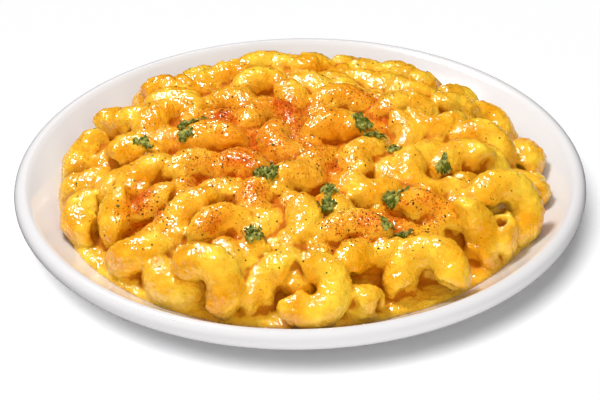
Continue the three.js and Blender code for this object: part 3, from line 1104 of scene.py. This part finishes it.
def fused_heap():
    """Fuses the elbows and the sauce, fills the crevices and roughens the coat."""
    settings = bpy.context.scene.macaroni_heap
    coat = settings.coat / MM
    elbows = all_elbows()
    tubes = [elbow_shape(elbow, coat) for elbow in elbows]
    points, faces = merged([core_shape(), *tubes, *curd_shapes(elbows, coat)])
    piece = new_piece("sauced_macaroni", points, faces)
    for swelling in (settings.fillet, -settings.fillet):
        modify(piece, "REMESH", mode="VOXEL", voxel_size=settings.grain)
        modify(piece, "DISPLACE", strength=swelling, mid_level=0.0)
    modify(piece, "SMOOTH", factor=0.5, iterations=2)
    for texture, strength in (
        (clouds("sauce_lumps", LUMP_SIZE), settings.lumps),
        (clouds("sauce_ripples", RIPPLE_SIZE), settings.ripples),
    ):
        modify(
            piece,
            "DISPLACE",
            texture=texture,
            texture_coords="LOCAL",
            strength=strength,
            mid_level=0.5,
        )
    triangles = 2 * len(piece.data.polygons)
    modify(piece, "DECIMATE", ratio=min(1.0, settings.faces / triangles))
    bpy.ops.object.shade_smooth()
    return piece


class MACARONI_OT_heap(bpy.types.Operator):
    """Makes the heap of elbow macaroni in cheese sauce"""

    bl_idname = "macaroni.heap"
    bl_label = "Macaroni in cheese sauce"
    bl_options = {"REGISTER", "UNDO"}

    def execute(self, context):
        piece = fused_heap()
        mark_hollows(piece.data)
        mark_paprika(piece.data)
        dress(piece, cheese_sauce(), "cheese_sauce", "macaroni_in_cheese_sauce")
        return {"FINISHED"}


# ---- Parsley ----

LEAFLET_STEPS = 8
LEAFLET_RIBS = 5
LEAF_SHEET = 0.35
LEAF_FAN = 150  # degrees between a leaf's outermost leaflets
# Leaves are drawn with a length and a width of 1, and then take their own.
LEAFLET_REACH = 0.62
SIDE_LEAFLET_LOSS = 0.14  # how much shorter the outermost leaflets are
LEAFLET_WIDTH = 0.2
LEAFLET_OUTLINE = (0.08, 0.87)  # the part of a half wave that it follows: its start and extent
LEAFLET_FULLNESS = 0.7  # below 1, the outline is fuller
LEAFLET_POINT = 0.12  # how far the middle of its tip stands out
TEETH = 2.5
TOOTH_DEPTH = 0.3
TOOTH_SHIFTS = (0, 0.3)
RUFFLES = 5.0
RUFFLE_HEIGHT = 0.8
CUPPING = 0.25
TIP_RISES = (0.0, 0.35)
STALK_BEHIND = 0.25  # how far the stalk lies behind the leaf's middle
LEAF_OVERSIZE = 1.1
LEAF_RELIEF = 0.35
LEAF_REST = 70  # the percentage of the ground under a leaf that lies below where it rests
LEAF_STIFFNESS = 0.5  # 0 follows every hollow, 1 bridges them all


def heap_surface():
    """The finished heap, ready for rays from above."""
    piece = bpy.data.objects.get("sauced_macaroni")
    if piece is None:
        raise RuntimeError("make the macaroni before what lies on it")
    return BVHTree.FromObject(piece, bpy.context.evaluated_depsgraph_get())


def ground_below(surface, x, y):
    """Where a thing dropped at x, y lands on the heap, and the way out of it there."""
    start = Vector((x * MM, y * MM, 2 * HEAP_BOX[1].z))
    place, outward, _, _ = surface.ray_cast(start, Vector((0, 0, -1)))
    if place is None:
        raise RuntimeError(f"nothing lies below {x}, {y}")
    return np.array(place) / MM, np.array(outward)


def leaflet(direction, length, draw):
    """One ruffled, toothed leaflet as a grid, from its stalk out."""
    out = np.linspace(0, 1, LEAFLET_STEPS)[:, None]
    rib = np.linspace(-1, 1, LEAFLET_RIBS)[None, :]
    teeth = 1 + TOOTH_DEPTH * np.cos(math.tau * (TEETH * out + draw(TOOTH_SHIFTS)))
    outline = np.sin(math.pi * (LEAFLET_OUTLINE[0] + LEAFLET_OUTLINE[1] * out)) ** LEAFLET_FULLNESS
    along = length * (out + LEAFLET_POINT * (1 - np.abs(rib)) * out)
    across = LEAFLET_WIDTH * outline * teeth * rib
    phase = draw((0, math.tau))
    ruffle = RUFFLE_HEIGHT * np.sin(RUFFLES * math.pi * out + phase) * rib**2
    height = ruffle + CUPPING * LEAFLET_WIDTH * rib**2 + draw(TIP_RISES) * length * out
    flat_x, flat_y = turned(along, across, direction)
    return np.stack([flat_x, flat_y, height], -1).reshape(-1, 3)


def leaf_shape(row, surface, draw):
    """A leaf's leaflets, fanned out from one stalk and laid on the heap."""
    x, y, length, width, turn, leaflets = row
    start = np.arange(LEAFLET_STEPS * LEAFLET_RIBS).reshape(LEAFLET_STEPS, LEAFLET_RIBS)
    faces = quad_faces(start[:-1, :-1], start[:-1, 1:], start[1:, 1:], start[1:, :-1])
    shapes = []
    for direction in np.linspace(-LEAF_FAN / 2, LEAF_FAN / 2, leaflets):
        reach = LEAFLET_REACH - SIDE_LEAFLET_LOSS * abs(direction) / (LEAF_FAN / 2)
        shapes.append((leaflet(direction, reach, draw), faces))
    points, faces = merged(shapes)
    along = (points[:, 0] - STALK_BEHIND) * length * LEAF_OVERSIZE
    across = points[:, 1] * width * LEAF_OVERSIZE
    flat_x, flat_y = turned(along, across, turn)
    flat_x, flat_y = x + flat_x, y + flat_y
    ground = np.array([ground_below(surface, *spot)[0][2] for spot in zip(flat_x, flat_y)])
    level = np.percentile(ground, LEAF_REST)
    bridging = (1 - LEAF_STIFFNESS) * ground + LEAF_STIFFNESS * level
    relief = points[:, 2] * 0.5 * (length + width) * LEAF_RELIEF
    height = np.maximum(bridging, ground) + LEAF_SHEET + relief
    return np.column_stack([flat_x, flat_y, height]), faces


def make_leaf(name, row, surface, draw):
    """A leaf as a finished piece, with the thickness of its sheet."""
    points, faces = leaf_shape(row, surface, draw)
    piece = new_piece(name, points, faces)
    modify(piece, "SOLIDIFY", thickness=LEAF_SHEET * MM, offset=0.0)
    modify(piece, "SUBSURF", levels=1, render_levels=1)
    bpy.ops.object.shade_smooth()
    return piece


class MACARONI_OT_parsley(bpy.types.Operator):
    """Lays the chopped parsley leaves on the heap"""

    bl_idname = "macaroni.parsley"
    bl_label = "Parsley"
    bl_options = {"REGISTER", "UNDO"}

    def execute(self, context):
        surface = heap_surface()
        material = parsley_leaf()
        draw = seeded(SEED)
        for node, row in zip(PARSLEY_NODES, LEAVES):
            piece = make_leaf(node.replace("parsley", "parsley_leaf"), row, surface, draw)
            dress(piece, material, "parsley", node)
        return {"FINISHED"}


# ---- Pepper, paprika and dried herb ----

STREWN_RADIUS = 88
LEAST_DRAW = 0.02  # keeps a grain from landing far outside its spot
GRAIN_DETAIL = 1
GRAIN_ROUGHNESS = 0.9
SMALL_GRAINS = 2  # the higher it is, the more of the grains are small
# Spread is the share of the grains that is strewn all over, and not where the paprika lies.
PEPPER = {"sizes": (0.15, 0.5), "flatness": 0.5, "spread": 0.4, "seed": 11}
GROUND_PAPRIKA = {"sizes": (0.1, 0.32), "flatness": 0.6, "spread": 0.1, "seed": 12}
DRIED_HERB = {"sizes": (0.3, 0.8), "flatness": 0.3, "spread": 0.6, "seed": 13}


def any_spot(draw, spread):
    """A place all over the heap, for a share of the draws, or else where the paprika lies."""
    if draw((0, 1)) < spread:
        radius = STREWN_RADIUS * math.sqrt(draw((0, 1)))
        return round_place(radius, draw((0, math.tau)))
    x, y, reach, _ = pick(PAPRIKA, draw)
    distance = reach * math.sqrt(-math.log(draw((LEAST_DRAW, 1))))
    aside, ahead = round_place(distance, draw((0, math.tau)))
    return x + aside, y + ahead


def scatter(name, count, sizes, flatness, spread, seed):
    """Grains strewn on the heap, each of its own size, half sunk in the sauce."""
    surface = heap_surface()
    mould, mould_faces = grain_mould(GRAIN_DETAIL, GRAIN_ROUGHNESS)
    draw = seeded(seed)
    shapes = []
    while len(shapes) < count:
        x, y = any_spot(draw, spread)
        if math.hypot(x, y) > STREWN_RADIUS:
            continue
        place, outward = ground_below(surface, x, y)
        size = sizes[0] + (sizes[1] - sizes[0]) * draw((0, 1)) ** SMALL_GRAINS
        shapes.append((strewn(mould, place, outward, size, flatness, draw), mould_faces))
    return new_piece(name, *merged(shapes))


class MACARONI_OT_spices(bpy.types.Operator):
    """Strews pepper, paprika and dried herb on the heap"""

    bl_idname = "macaroni.spices"
    bl_label = "Pepper, paprika and herb"
    bl_options = {"REGISTER", "UNDO"}

    def execute(self, context):
        settings = context.scene.macaroni_toppings
        pepper = scatter("pepper", settings.pepper_grains, **PEPPER)
        dress(pepper, ground_spice("black_pepper", settings.pepper), "cheese_sauce")
        paprika = scatter("paprika", settings.paprika_grains, **GROUND_PAPRIKA)
        dress(paprika, ground_spice("ground_paprika", settings.paprika), "cheese_sauce")
        herb = scatter("dried_herb", settings.herb_scraps, **DRIED_HERB)
        dress(herb, ground_spice("dried_herb", settings.herb), "parsley")
        return {"FINISHED"}


# ---- Stage ----

CAMERA_ELEVATION = 32.48
CAMERA_ROLL = 0.878
CAMERA_DISTANCE = 700
CAMERA_LENS = 106.7
CLIP_START = 10  # the camera sees nothing nearer than this
AIM = (-0.1, 5.41)  # right of the origin and above it, across the view
FLOOR_SIZE = 6000
KEY_FROM = (-0.34, 0.35, 0.88)
KEY_DISTANCE = 900
KEY_SIZE = 230
TOP_FROM = (0.2, 0.35, 0.88)
TOP_DISTANCE = 1000
TOP_SIZE = 640
FILL_FROM = (0.15, -0.87, 0.4)
FILL_DISTANCE = 1200
FILL_SIZE = 900
SUN_DISTANCE = 1000  # a sun lights the same from any distance
DOME_FROM = (-1, 0, 1)
DOME_SPREAD = 160  # degrees across
WASH_FROM = (-0.22, -0.46, 0.85)
WASH_SPREAD = 30
SKY_COLOUR = "#FFFFFF"


def place_camera():
    """Looks at the plate from the near side, from a little above it."""
    rise, roll = math.radians(CAMERA_ELEVATION), math.radians(CAMERA_ROLL)
    back = Vector((0, -math.cos(rise), math.sin(rise)))
    right = Vector((1, 0, 0))
    up = Vector((0, math.sin(rise), math.cos(rise)))
    aim = right * AIM[0] + up * AIM[1]
    bpy.ops.object.camera_add(location=(aim + back * CAMERA_DISTANCE) * MM)
    camera = bpy.context.object
    across = right * math.cos(roll) - up * math.sin(roll)
    upward = right * math.sin(roll) + up * math.cos(roll)
    turn = Matrix((across, upward, back)).transposed()
    camera.rotation_euler = turn.to_euler()
    camera.data.lens = CAMERA_LENS
    camera.data.clip_start = CLIP_START * MM
    bpy.context.scene.camera = camera


def add_light(kind, name, direction, distance, strength):
    """A light that faces the plate from a direction."""
    away = Vector(direction).normalized()
    bpy.ops.object.light_add(type=kind, location=away * distance * MM)
    light = bpy.context.object
    light.name = name
    light.rotation_euler = away.to_track_quat("Z", "Y").to_euler()
    light.data.energy = strength
    return light


def add_softbox(name, direction, distance, size, power):
    """A square soft light."""
    light = add_light("AREA", name, direction, distance, power)
    light.data.size = size * MM
    return light


def add_even_light(name, direction, spread, strength):
    """An even light from far away, as wide across as its spread in degrees."""
    light = add_light("SUN", name, direction, SUN_DISTANCE, strength)
    light.data.angle = math.radians(spread)
    return light


def link_light(light, thing, state):
    """Lets a light fall on one thing alone, INCLUDE, or on all the others, EXCLUDE."""
    linked = bpy.data.collections.new(f"{light.name}_{thing.name}")
    linked.objects.link(thing)
    linked.collection_objects[0].light_linking.link_state = state
    light.light_linking.receiver_collection = linked


def add_floor():
    """A pale floor that gives off a little light and shows in no reflection."""
    bpy.ops.object.select_all(action="DESELECT")
    bpy.ops.mesh.primitive_plane_add(size=FLOOR_SIZE * MM)
    floor = bpy.context.object
    floor.name = "floor"
    floor.data.materials.append(matt_paint())
    floor.visible_glossy = False
    return floor


def add_lights(floor):
    """Lights the plate from the key, top, fill and dome, and the floor from the wash alone.

    Only the key light shows in reflections, as small white highlights.
    """
    settings = bpy.context.scene.macaroni_stage
    key = add_softbox("key_light", KEY_FROM, KEY_DISTANCE, KEY_SIZE, settings.key)
    soft = [
        add_softbox("top_light", TOP_FROM, TOP_DISTANCE, TOP_SIZE, settings.top),
        add_softbox("fill_light", FILL_FROM, FILL_DISTANCE, FILL_SIZE, settings.fill),
        add_even_light("dome", DOME_FROM, DOME_SPREAD, settings.dome),
    ]
    for light in (key, *soft):
        link_light(light, floor, "EXCLUDE")
    for light in soft:
        light.visible_glossy = False
    wash = add_even_light("floor_wash", WASH_FROM, WASH_SPREAD, settings.wash)
    link_light(wash, floor, "INCLUDE")


def add_sky():
    """A weak even light from all round, which shows in no reflection."""
    world = bpy.data.worlds.new("studio")
    bpy.context.scene.world = world
    world.use_nodes = True
    sky = {"Color": linear(SKY_COLOUR), "Strength": bpy.context.scene.macaroni_stage.sky}
    set_inputs(world.node_tree, world.node_tree.nodes["Background"], sky)
    world.cycles_visibility.glossy = False


class MACARONI_OT_stage(bpy.types.Operator):
    """Sets up the floor, the lights and the camera"""

    bl_idname = "macaroni.stage"
    bl_label = "Floor, lights and camera"
    bl_options = {"REGISTER", "UNDO"}

    def execute(self, context):
        add_lights(add_floor())
        add_sky()
        context.scene.view_settings.view_transform = "Standard"
        place_camera()
        return {"FINISHED"}


# ---- Panel and registration ----


class MACARONI_PT_panel(bpy.types.Panel):
    bl_label = "Macaroni and cheese"
    bl_idname = "MACARONI_PT_panel"
    bl_space_type = "VIEW_3D"
    bl_region_type = "UI"
    bl_category = "Macaroni"

    def draw(self, context):
        for operator in OPERATORS:
            self.layout.operator(operator.bl_idname)
        for group, settings in SETTINGS.items():
            box = self.layout.box()
            for name in settings.__annotations__:
                box.prop(getattr(context.scene, group), name)


OPERATORS = (
    MACARONI_OT_plate,
    MACARONI_OT_heap,
    MACARONI_OT_parsley,
    MACARONI_OT_spices,
    MACARONI_OT_stage,
)


def register():
    for part in (*SETTINGS.values(), *OPERATORS, MACARONI_PT_panel):
        bpy.utils.register_class(part)
    for group, settings in SETTINGS.items():
        setattr(bpy.types.Scene, group, bpy.props.PointerProperty(type=settings))


def unregister():
    for group in SETTINGS:
        delattr(bpy.types.Scene, group)
    for part in (MACARONI_PT_panel, *reversed(OPERATORS), *SETTINGS.values()):
        bpy.utils.unregister_class(part)


def main():
    register()
    bpy.ops.macaroni.stage()
    bpy.ops.macaroni.plate()
    bpy.ops.macaroni.heap()
    bpy.ops.macaroni.parsley()
    bpy.ops.macaroni.spices()


if __name__ == "__main__":
    main()
